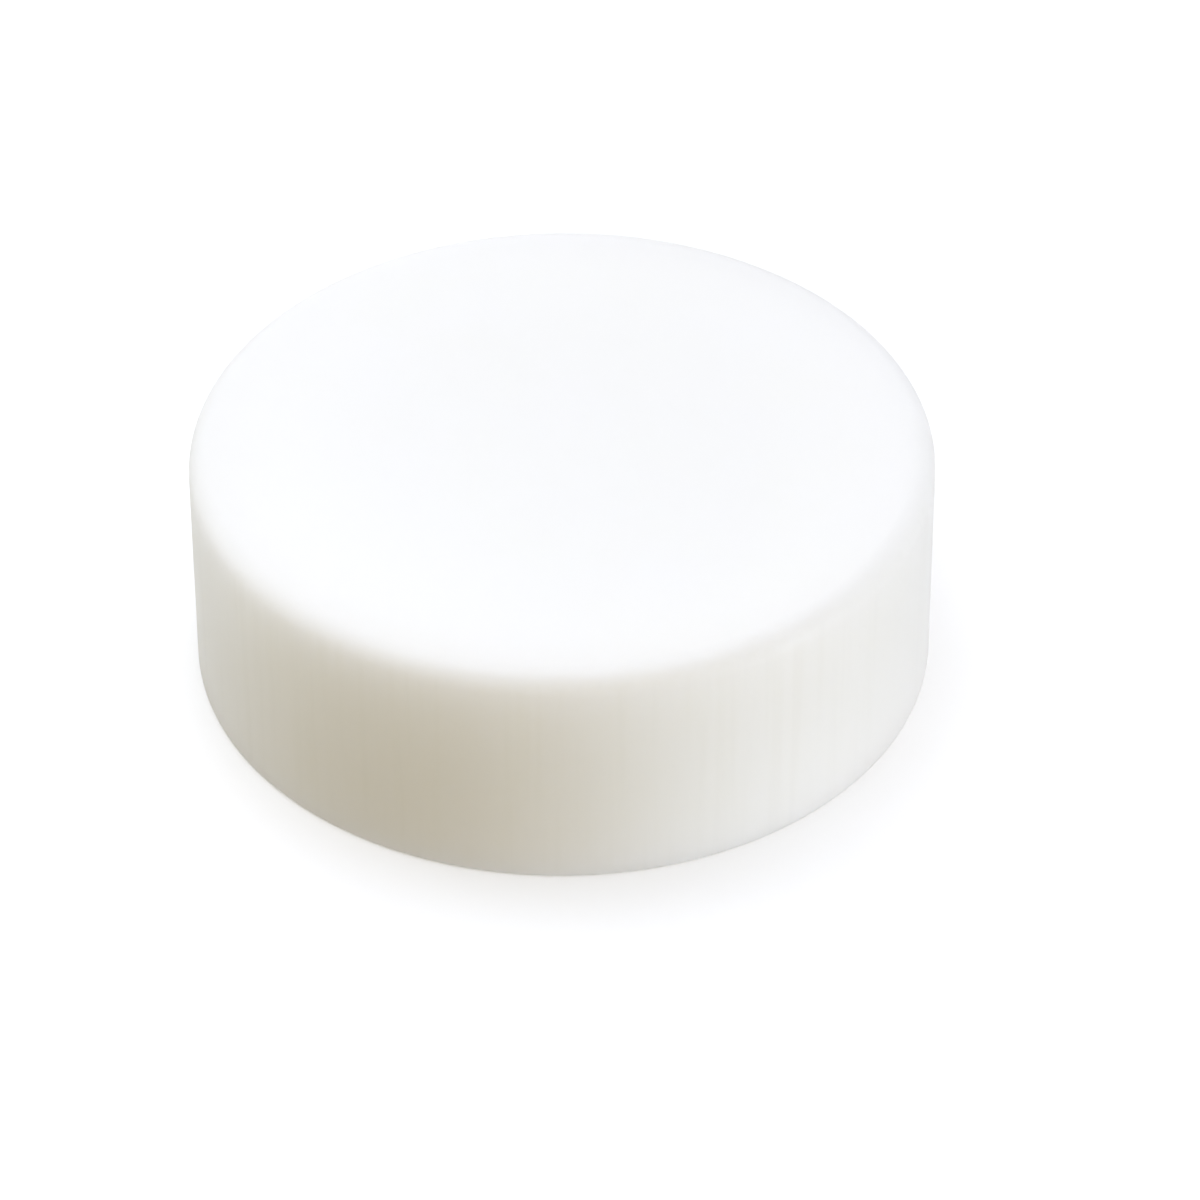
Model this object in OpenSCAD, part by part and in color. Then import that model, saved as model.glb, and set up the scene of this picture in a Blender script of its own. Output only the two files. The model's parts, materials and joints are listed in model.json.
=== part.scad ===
// Shaving soap puck: one cake of soap poured into a round mould and turned out.
// The floor of the mould rounds the upper edge. The face that was left open to the air
// while the soap set is the base, so it is nearly sharp and sinks a little in the middle.
// Frame: Z is up, and the origin is the centre of the base, on the surface it stands on.

/* [Puck] */
// Diameter across the side wall
puck_d = 84; // [60:1:120]
// Height from the surface it stands on to the top face
puck_h = 28; // [12:1:60]

/* [Edges] */
// Radius of the rounded edge round the top face
top_edge_r = 2.5; // [0.5:0.1:5]
// Radius of the softened edge round the base
base_edge_r = 0.5; // [0.2:0.1:3]

/* [Base] */
// Width of the flat ring that the puck stands on
rim_w = 8; // [2:0.5:20]
// Depth of the hollow that the soap leaves in the base as it cools and shrinks
hollow_depth = 0.5; // [0.2:0.1:2]

/* [Hidden] */
$fn = 180;
sphere_fn = 3600; // facets round the whole sphere of the hollow, which uses only a small cap of it
soap_white = [0.97, 0.96, 0.93];
cut_past = 1; // how far each cut runs past the face it opens

puck_r = puck_d / 2;
hollow_r = puck_r - base_edge_r - rim_w;
// The hollow is the cap of a sphere that is hollow_r wide and hollow_depth deep.
hollow_sphere_r = (hollow_r ^ 2 + hollow_depth ^ 2) / (2 * hollow_depth);

// What is cut from a square corner at the origin, lying towards -X and -Y, to round it.
module corner_cut(r) {
    difference() {
        translate([-r, -r]) square(r + cut_past);
        translate([-r, -r]) circle(r);
    }
}

// Half of the section through the puck's axis, with X along the radius and Y up.
module half_section() {
    difference() {
        square([puck_r, puck_h]);
        translate([puck_r, puck_h]) corner_cut(top_edge_r);
        translate([puck_r, 0]) mirror([0, 1]) corner_cut(base_edge_r);
        translate([0, hollow_depth - hollow_sphere_r]) circle(hollow_sphere_r, $fn = sphere_fn);
    }
}

module soap_puck() {
    color(soap_white) rotate_extrude() half_section();
}

soap_puck();
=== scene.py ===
import json
import math

import bpy
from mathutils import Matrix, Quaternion, Vector


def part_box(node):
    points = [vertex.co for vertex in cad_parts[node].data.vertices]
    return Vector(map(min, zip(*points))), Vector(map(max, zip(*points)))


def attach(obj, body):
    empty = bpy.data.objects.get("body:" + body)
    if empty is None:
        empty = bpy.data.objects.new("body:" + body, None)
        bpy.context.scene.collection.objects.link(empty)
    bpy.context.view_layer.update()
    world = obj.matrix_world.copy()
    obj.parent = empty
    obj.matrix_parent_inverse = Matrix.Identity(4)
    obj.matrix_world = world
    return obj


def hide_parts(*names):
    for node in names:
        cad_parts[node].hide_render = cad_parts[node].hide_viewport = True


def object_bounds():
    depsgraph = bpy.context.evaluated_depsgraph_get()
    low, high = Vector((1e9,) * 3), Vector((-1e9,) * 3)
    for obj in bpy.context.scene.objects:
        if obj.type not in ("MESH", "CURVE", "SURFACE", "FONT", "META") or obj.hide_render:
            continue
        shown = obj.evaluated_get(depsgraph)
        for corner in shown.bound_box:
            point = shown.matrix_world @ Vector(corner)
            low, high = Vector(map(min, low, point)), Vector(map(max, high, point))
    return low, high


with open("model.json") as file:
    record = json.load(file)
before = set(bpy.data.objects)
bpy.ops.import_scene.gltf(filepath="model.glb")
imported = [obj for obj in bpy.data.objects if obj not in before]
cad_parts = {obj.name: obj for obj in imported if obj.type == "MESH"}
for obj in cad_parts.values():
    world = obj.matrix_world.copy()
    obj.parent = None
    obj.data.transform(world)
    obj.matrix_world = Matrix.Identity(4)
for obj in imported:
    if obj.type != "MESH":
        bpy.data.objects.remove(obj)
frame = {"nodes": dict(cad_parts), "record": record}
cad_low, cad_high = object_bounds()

scene = bpy.context.scene


# ---- Camera ----------------------------------------------------------------------------------
# A long lens, about seventy centimetres away and a little above the puck, so that its round top
# and its side wall both show. It aims just beside the middle, which leaves the puck off centre.

view_elevation = math.radians(38.45)
view_distance = 0.7178
view_aim = Vector((0.0042, 0.0, 0.0052))
view_roll = math.radians(-0.2)
lens_mm = 189.5
view_limit = 20.0

puck_middle = (cad_low + cad_high) / 2
puck_middle.x = puck_middle.y = 0.0
camera = bpy.data.objects.new("camera", bpy.data.cameras.new("camera"))
camera.data.lens = lens_mm
camera.data.clip_end = view_limit
view_back = Vector((0.0, -math.cos(view_elevation), math.sin(view_elevation)))
camera.location = puck_middle + view_back * view_distance
camera.rotation_mode = "QUATERNION"
view_turn = (view_aim - camera.location).to_track_quat("-Z", "Y")
camera.rotation_quaternion = view_turn @ Quaternion((0.0, 0.0, 1.0), view_roll)
scene.collection.objects.link(camera)
scene.camera = camera


# ---- Soap cake -------------------------------------------------------------------------------
# One cake of hard white shaving soap. It is poured hot into a round mould, whose floor rounds the
# upper edge, and turned out when it has set. The face that was left open becomes the base.

MM = 0.001


def add(tree, kind, *feeds, **settings):
    """Adds a node to a tree, feeds its inputs in order, and returns its first output."""
    made = tree.nodes.new(kind)
    for name, value in settings.items():
        setattr(made, name, value)
    for socket, feed in zip([s for s in made.inputs if s.enabled], feeds):
        if isinstance(feed, bpy.types.NodeSocket):
            tree.links.new(feed, socket)
        elif feed is not None:
            socket.default_value = feed
    return next(s for s in made.outputs if s.enabled)


def number(tree, operation, *feeds):
    return add(tree, "ShaderNodeMath", *feeds, operation=operation)


def vector(tree, operation, *feeds):
    return add(tree, "ShaderNodeVectorMath", *feeds, operation=operation)


def cloud(tree, place, width, detail=1.0, unevenness=0.5):
    """Soft noise from 0 to 1, whose lumps are about as wide as the given width."""
    lumps_per_metre = number(tree, "DIVIDE", 1.0, width)
    return add(tree, "ShaderNodeTexNoise", place, lumps_per_metre, detail, unevenness)


# The sizes come from the frame: the wall is the record's side_wall mount, and the flat ring of the
# base and the hollow inside it are read off the CAD mesh.
cake_cad = frame["nodes"]["soap_puck"].data
cake_low, cake_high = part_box("soap_puck")
cake_h = cake_high.z
cake_r = min(-cake_low.x, cake_high.x, -cake_low.y, cake_high.y)
wall_mount = next(m for m in frame["record"]["mounts"] if m["name"] == "side_wall")
wall_half = wall_mount["dims"]["length_mm"] * MM / 2
wall_base = wall_mount["pos_m"][2] - wall_half
wall_top = wall_mount["pos_m"][2] + wall_half
as_good_as_flat = 0.01 * MM
from_middle = [(math.hypot(v.co.x, v.co.y), v.co.z) for v in cake_cad.vertices]
hollow_r = min(r for r, z in from_middle if z < as_good_as_flat)
hollow_depth = max(z for r, z in from_middle if r < hollow_r / 2 and z < cake_h / 2)

soap = bpy.data.materials.new("white_soap")
soap.use_nodes = True

cake_inputs = {
    "Wall Radius": ("NodeSocketFloat", cake_r),
    "Height": ("NodeSocketFloat", cake_h),
    "Lip Radius": ("NodeSocketFloat", cake_h - wall_top),
    "Base Edge Radius": ("NodeSocketFloat", wall_base),
    "Hollow Radius": ("NodeSocketFloat", hollow_r),
    "Hollow Depth": ("NodeSocketFloat", hollow_depth),
    "Ripple Height": ("NodeSocketFloat", 0.10 * MM),
    "Ripple Width": ("NodeSocketFloat", 9.0 * MM),
    "Slump": ("NodeSocketFloat", 0.05 * MM),
    "Slump Width": ("NodeSocketFloat", 26.0 * MM),
    "Drag Depth": ("NodeSocketFloat", 0.012 * MM),
    "Drag Width": ("NodeSocketFloat", 2.2 * MM),
    "Pit Radius Min": ("NodeSocketFloat", 0.3 * MM),
    "Pit Radius Max": ("NodeSocketFloat", 0.9 * MM),
    "Pit Spacing": ("NodeSocketFloat", 4.5 * MM),
    "Pits Per Square Metre": ("NodeSocketFloat", 12000.0),
    "Seed": ("NodeSocketInt", 7),
    "Soap": ("NodeSocketMaterial", soap),
}

pour = bpy.data.node_groups.new("poured_cake", "GeometryNodeTree")
pour.interface.new_socket("Cake", in_out="OUTPUT", socket_type="NodeSocketGeometry")
for name, (kind, value) in cake_inputs.items():
    pour.interface.new_socket(name, in_out="INPUT", socket_type=kind)
sizes = pour.nodes.new("NodeGroupInput").outputs

# A block of small faces is bent into the cake. Its square rings become round ones, and its rings
# and rows crowd together towards the edges, which need the most faces.
across = 120
down = 56
ring_crowding = 1.6
row_evenness = 0.25
block = add(pour, "GeometryNodeMeshCube", (2, 2, 2), across + 1, across + 1, down + 1)
corner = add(pour, "GeometryNodeInputPosition")
flat = vector(pour, "MULTIPLY", corner, (1, 1, 0))
spans = add(pour, "ShaderNodeSeparateXYZ", vector(pour, "ABSOLUTE", flat)).node.outputs
ring = number(pour, "MAXIMUM", spans["X"], spans["Y"])
turn = vector(pour, "SCALE", vector(pour, "DIVIDE", flat, ring), math.pi / 4)
outward = vector(pour, "NORMALIZE", vector(pour, "TANGENT", turn))
inset = number(pour, "POWER", number(pour, "SUBTRACT", 1.0, ring), ring_crowding)
radius = number(pour, "MULTIPLY", number(pour, "SUBTRACT", 1.0, inset), sizes["Wall Radius"])
row = add(pour, "ShaderNodeSeparateXYZ", corner).node.outputs["Z"]
row_sine = number(pour, "SINE", number(pour, "MULTIPLY", row, math.pi / 2))
row_share = number(pour, "MULTIPLY", row, row_evenness / 2)
row_share = number(pour, "MULTIPLY_ADD", row_sine, (1 - row_evenness) / 2, row_share)
row_share = number(pour, "ADD", row_share, 0.5)
height = number(pour, "MULTIPLY", row_share, sizes["Height"])

# Each point is pulled onto the rounded edge: it lies one edge radius out from an inner shape.
upper = number(pour, "GREATER_THAN", row, 0.0)
edge = add(
    pour, "ShaderNodeMix", upper, sizes["Base Edge Radius"], sizes["Lip Radius"],
    data_type="FLOAT",
)
inner_r = number(pour, "SUBTRACT", sizes["Wall Radius"], edge)
inner_r = number(pour, "MINIMUM", radius, inner_r)
inner_z = number(pour, "SUBTRACT", sizes["Height"], sizes["Lip Radius"])
inner_z = number(pour, "MINIMUM", height, inner_z)
inner_z = number(pour, "MAXIMUM", inner_z, sizes["Base Edge Radius"])
inner_up = add(pour, "ShaderNodeCombineXYZ", 0.0, 0.0, inner_z)
inner = vector(pour, "MULTIPLY_ADD", outward, inner_r, inner_up)
past_r = number(pour, "SUBTRACT", radius, inner_r)
past_z = number(pour, "SUBTRACT", height, inner_z)
past_up = add(pour, "ShaderNodeCombineXYZ", 0.0, 0.0, past_z)
facing = vector(pour, "NORMALIZE", vector(pour, "MULTIPLY_ADD", outward, past_r, past_up))
rounded = vector(pour, "MULTIPLY_ADD", facing, edge, inner)

# The top and the wall slump a few hundredths of a millimetre inwards, and the wall has faint
# upright lines where the cake dragged as it left the mould. Lumps of noise are drawn out into
# such lines by taking only a small share of the height.
drag_height_share = 0.03
facing_up = add(pour, "ShaderNodeSeparateXYZ", facing).node.outputs["Z"]
off_base = number(pour, "ADD", number(pour, "MINIMUM", facing_up, 0.0), 1.0)
on_wall = number(pour, "SUBTRACT", 1.0, number(pour, "ABSOLUTE", facing_up))
slump = number(pour, "MULTIPLY", cloud(pour, rounded, sizes["Slump Width"]), sizes["Slump"])
upright = vector(pour, "MULTIPLY", rounded, (1, 1, drag_height_share))
drag = number(pour, "MULTIPLY", cloud(pour, upright, sizes["Drag Width"]), sizes["Drag Depth"])
sunk = number(pour, "MULTIPLY", slump, off_base)
sunk = number(pour, "MULTIPLY_ADD", drag, on_wall, sunk)
settled = vector(pour, "MULTIPLY_ADD", facing, number(pour, "MULTIPLY", sunk, -1.0), rounded)

# The base sinks to a shallow hollow as the soap cools, and its skin sets in low ripples. Only the
# lowest row of the block lies on the base, at -1.
hollow_softness = 1.5
base_row = -0.999
hollow_share = number(pour, "DIVIDE", radius, sizes["Hollow Radius"])
hollow_share = number(pour, "SUBTRACT", 1.0, number(pour, "POWER", hollow_share, 2.0))
hollow_share = number(pour, "MAXIMUM", hollow_share, 0.0)
hollow_share = number(pour, "POWER", hollow_share, hollow_softness)
hollow_share = number(pour, "MULTIPLY", hollow_share, number(pour, "LESS_THAN", row, base_row))
ripple = cloud(pour, rounded, sizes["Ripple Width"], detail=2.0)
ripple = number(pour, "MULTIPLY", number(pour, "SUBTRACT", ripple, 0.5), sizes["Ripple Height"])
hollow = number(pour, "MULTIPLY", number(pour, "ADD", sizes["Hollow Depth"], ripple), hollow_share)
hollow_up = add(pour, "ShaderNodeCombineXYZ", 0.0, 0.0, hollow)
cast = add(pour, "GeometryNodeSetPosition", block, None, vector(pour, "ADD", settled, hollow_up))

# Bubbles rose to the open face and broke there. Each left a shallow round pit, which is cut by a
# ball whose middle lies just outside the soap.
pitted_reach = 0.95  # of the wall's radius
pitted_height = 0.1  # of the cake's height, so that no pit is cut in the top
ball_drop = -0.6  # of the ball's radius
ball_steps = 3
at = add(pour, "GeometryNodeInputPosition")
at_height = add(pour, "ShaderNodeSeparateXYZ", at).node.outputs["Z"]
near_middle = vector(pour, "LENGTH", vector(pour, "MULTIPLY", at, (1, 1, 0)))
pit_limit = number(pour, "MULTIPLY", sizes["Wall Radius"], pitted_reach)
pitted = number(pour, "LESS_THAN", near_middle, pit_limit)
height_limit = number(pour, "MULTIPLY", sizes["Height"], pitted_height)
low_down = number(pour, "LESS_THAN", at_height, height_limit)
pitted = number(pour, "MULTIPLY", pitted, low_down)
spots = add(
    pour, "GeometryNodeDistributePointsOnFaces", cast, pitted, sizes["Pit Spacing"],
    sizes["Pits Per Square Metre"], 1.0, sizes["Seed"], distribute_method="POISSON",
)
pit_r = add(
    pour, "FunctionNodeRandomValue", sizes["Pit Radius Min"], sizes["Pit Radius Max"],
    None, sizes["Seed"], data_type="FLOAT",
)
drop = number(pour, "MULTIPLY", pit_r, ball_drop)
pit_drop = add(pour, "ShaderNodeCombineXYZ", 0.0, 0.0, drop)
spots = add(pour, "GeometryNodeSetPosition", spots, None, None, pit_drop)
ball = add(pour, "GeometryNodeMeshIcoSphere", 1.0, ball_steps)
balls = add(pour, "GeometryNodeInstanceOnPoints", spots, None, ball, None, None, None, pit_r)
pits = add(pour, "GeometryNodeRealizeInstances", balls)
pitted_cake = add(
    pour, "GeometryNodeMeshBoolean", cast, pits, operation="DIFFERENCE", solver="MANIFOLD"
)

crisp_angle = math.radians(28)
crisp = number(pour, "GREATER_THAN", add(pour, "GeometryNodeInputMeshEdgeAngle"), crisp_angle)
smooth = add(pour, "GeometryNodeSetShadeSmooth", pitted_cake, None, True)
smooth = add(pour, "GeometryNodeSetShadeSmooth", smooth, crisp, False, domain="EDGE")
whole = add(pour, "GeometryNodeRealizeInstances", smooth)
finished = add(pour, "GeometryNodeSetMaterial", whole, None, sizes["Soap"])
pour.links.new(finished, pour.nodes.new("NodeGroupOutput").inputs["Cake"])

blank = bpy.data.objects.new("blank", bpy.data.meshes.new("blank"))
scene.collection.objects.link(blank)
pouring = blank.modifiers.new("Pour", "NODES")
pouring.node_group = pour
for name, (kind, value) in cake_inputs.items():
    pouring[pour.interface.items_tree[name].identifier] = value
bpy.context.view_layer.update()
turned_out = blank.evaluated_get(bpy.context.evaluated_depsgraph_get())
cake_mesh = bpy.data.meshes.new_from_object(turned_out)
cake_mesh.name = "soap_cake"
bpy.data.objects.remove(blank)
cake = bpy.data.objects.new("soap_cake", cake_mesh)
scene.collection.objects.link(cake)


# Hard white soap: a dense white that light sinks a centimetre into, under a waxy satin skin. Its
# tone drifts a little where it cooled slower, and its gloss changes from patch to patch.
soap_pale = (0.945, 0.937, 0.91, 1.0)
soap_creamy = (0.93, 0.918, 0.882, 1.0)
drift_width = 14 * MM
satin_width = 5 * MM
satin_low = 0.4
satin_high = 0.54
noise_low = 0.3  # soft noise seldom leaves the range between these two
noise_high = 0.7
light_depth = 12 * MM
soap_ior = 1.45
tree = soap.node_tree
skin = tree.nodes["Principled BSDF"]
place = add(tree, "ShaderNodeTexCoord").node.outputs["Object"]
drift = cloud(tree, place, drift_width, detail=2.0)
tone = add(tree, "ShaderNodeMix", drift, soap_pale, soap_creamy, data_type="RGBA")
patches = cloud(tree, place, satin_width, detail=3.0)
satin = add(
    tree, "ShaderNodeMapRange", patches, noise_low, noise_high, satin_low, satin_high
)
tree.links.new(satin, skin.inputs["Roughness"])
skin.inputs["Subsurface Weight"].default_value = 1.0
skin.inputs["Subsurface Radius"].default_value = (1.0, 1.0, 1.0)
skin.inputs["Subsurface Scale"].default_value = light_depth
skin.inputs["IOR"].default_value = soap_ior

# The wall is scored by fine upright lines from the mould, which are a shade duller than the rest.
soap_rubbed = (0.921, 0.911, 0.88, 1.0)
line_width = 1.5 * MM
line_height_share = 0.04
lines_start_r = cake_r - 1.5 * MM
lines_full_r = cake_r - 0.3 * MM
rubbed_start = 0.45
rubbed_full = 0.75
from_axis = vector(tree, "LENGTH", vector(tree, "MULTIPLY", place, (1, 1, 0)))
on_wall = add(
    tree, "ShaderNodeMapRange", from_axis, lines_start_r, lines_full_r,
    interpolation_type="SMOOTHSTEP",
)
upright = vector(tree, "MULTIPLY", place, (1, 1, line_height_share))
lines = number(tree, "MULTIPLY", cloud(tree, upright, line_width, detail=2.0), on_wall)
rubbed = add(
    tree, "ShaderNodeMapRange", lines, rubbed_start, rubbed_full,
    interpolation_type="SMOOTHSTEP",
)
tone = add(tree, "ShaderNodeMix", rubbed, tone, soap_rubbed, data_type="RGBA")
tree.links.new(tone, skin.inputs["Base Color"])

# The lines can just be felt, and the whole skin has a very fine grain.
line_depth = 0.005 * MM
grain_width = 0.25 * MM
grain_depth = 0.003 * MM
scored = number(tree, "MULTIPLY", lines, line_depth)
grain = number(tree, "MULTIPLY", cloud(tree, place, grain_width, detail=2.0), grain_depth)
bump = tree.nodes.new("ShaderNodeBump")
bump.inputs["Distance"].default_value = 1.0
tree.links.new(number(tree, "ADD", scored, grain), bump.inputs["Height"])
tree.links.new(bump.outputs["Normal"], skin.inputs["Normal"])

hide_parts("soap_puck")
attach(cake, "root")


# ---- Floor -----------------------------------------------------------------------------------
# A plain white sheet that curves up all round into a wall, so that no edge or corner shows. It
# catches the puck's shadow but lets light through, like frosted glass. It shines a little by
# itself, most of all round the puck.

floor_r = 2.0
cove_r = 0.8
cove_top = 2.2
cove_steps = 24
floor_sides = 128
floor_rings = [(0.3, 0.0), (1.0, 0.0), (floor_r, 0.0)]  # radius and height of each
for step in range(1, cove_steps + 1):
    rise = step / cove_steps * math.pi / 2
    floor_rings.append((floor_r + cove_r * math.sin(rise), cove_r * (1 - math.cos(rise))))
floor_rings.append((floor_r + cove_r, cove_top))
floor_points = [
    (r * math.cos(2 * math.pi * i / floor_sides), r * math.sin(2 * math.pi * i / floor_sides), z)
    for r, z in floor_rings
    for i in range(floor_sides)
]
floor_faces = [list(range(floor_sides))]
for level in range(len(floor_rings) - 1):
    for i in range(floor_sides):
        a = level * floor_sides + i
        b = level * floor_sides + (i + 1) % floor_sides
        floor_faces.append([a, a + floor_sides, b + floor_sides, b])
floor_mesh = bpy.data.meshes.new("floor")
floor_mesh.from_pydata(floor_points, [], floor_faces)
floor_mesh.shade_smooth()
floor = bpy.data.objects.new("floor", floor_mesh)
scene.collection.objects.link(floor)

paper_white = (0.85, 0.85, 0.85, 1.0)
shine_near = 0.23
shine_far = 0.12
shine_near_r = 0.13
shine_far_r = 0.5
paper = bpy.data.materials.new("white_paper")
paper.use_nodes = True
sheet = paper.node_tree.nodes["Principled BSDF"]
sheet.inputs["Base Color"].default_value = paper_white
sheet.inputs["Roughness"].default_value = 0.9
sheet.inputs["Specular IOR Level"].default_value = 0.1
sheet.inputs["Emission Color"].default_value = (1.0, 1.0, 1.0, 1.0)
from_puck = vector(paper.node_tree, "LENGTH", add(paper.node_tree, "ShaderNodeNewGeometry"))
shine = add(
    paper.node_tree, "ShaderNodeMapRange", from_puck, shine_near_r, shine_far_r, shine_near,
    shine_far, interpolation_type="SMOOTHSTEP",
)
paper.node_tree.links.new(shine, sheet.inputs["Emission Strength"])
paper.cycles.emission_sampling = "NONE"
floor_mesh.materials.append(paper)

# The soap doesn't see the floor, so that light from below and beyond reaches it unhindered.
floor.visible_diffuse = False
floor.visible_shadow = False


# ---- Light -----------------------------------------------------------------------------------
# Plain soft studio light: three big softboxes, overhead, behind at the left and low at the right,
# and three small ones close to the puck. Those low at the right shine up through the floor. The
# walls of the room glow softly as well.


def towards(azimuth, elevation):
    """The direction from the puck. Azimuth 0 is the camera's side, and 90 is the right."""
    a, e = math.radians(azimuth), math.radians(elevation)
    return Vector((math.sin(a) * math.cos(e), -math.cos(a) * math.cos(e), math.sin(e)))


def softbox(name, azimuth, elevation, distance, size, watts, colour):
    """A square area light that faces the puck."""
    made = bpy.data.objects.new(name, bpy.data.lights.new(name, "AREA"))
    made.data.shape = "SQUARE"
    made.data.size = size
    made.data.energy = watts
    made.data.color = colour
    back = towards(azimuth, elevation)
    made.location = puck_middle + back * distance
    made.rotation_mode = "QUATERNION"
    made.rotation_quaternion = (-back).to_track_quat("-Z", "Y")
    made.visible_camera = False
    scene.collection.objects.link(made)


softbox("overhead", 0, 89, 3.0, 3.0, 70.8, (0.846, 0.888, 1.0))
softbox("left_low", -110, 20, 3.0, 2.0, 23.2, (0.868, 0.933, 1.0))
softbox("right_low", 62, -12, 3.0, 2.0, 36.3, (0.81, 0.881, 1.0))
softbox("left_fill", -45, 36, 0.112, 0.06, 0.009, (0.884, 0.934, 1.0))
softbox("front_fill", 30, -22, 0.092, 0.05, 0.0083, (0.633, 0.763, 1.0))
softbox("right_fill", 76, -46, 0.08, 0.05, 0.006, (0.95, 0.92, 1.0))

room = bpy.data.worlds.new("room")
room.use_nodes = True
tree = room.node_tree
looking = add(tree, "ShaderNodeTexCoord")
glow_spread = 34  # degrees from a glow's middle to where it is half as bright
glow_falloff = math.log(2) / (1 - math.cos(math.radians(glow_spread)))


def glow(azimuth, elevation, colour):
    """A soft patch of light on the walls of the room."""
    nearness = vector(tree, "DOT_PRODUCT", looking, towards(azimuth, elevation))
    fade = number(tree, "MULTIPLY_ADD", nearness, glow_falloff, -glow_falloff)
    return vector(tree, "SCALE", colour, number(tree, "EXPONENT", fade))


glows = [
    glow(0, 5, (0.69, 0.525, 0.21)),
    glow(180, 40, (1.17, 1.16, 1.18)),
    glow(100, -30, (0.77, 0.756, 0.73)),
    glow(-120, -30, (0.66, 0.628, 0.518)),
]
light = glows[0]
for patch in glows[1:]:
    light = vector(tree, "ADD", light, patch)
tree.links.new(light, tree.nodes["Background"].inputs["Color"])
scene.world = room
scene.view_settings.view_transform = "Standard"
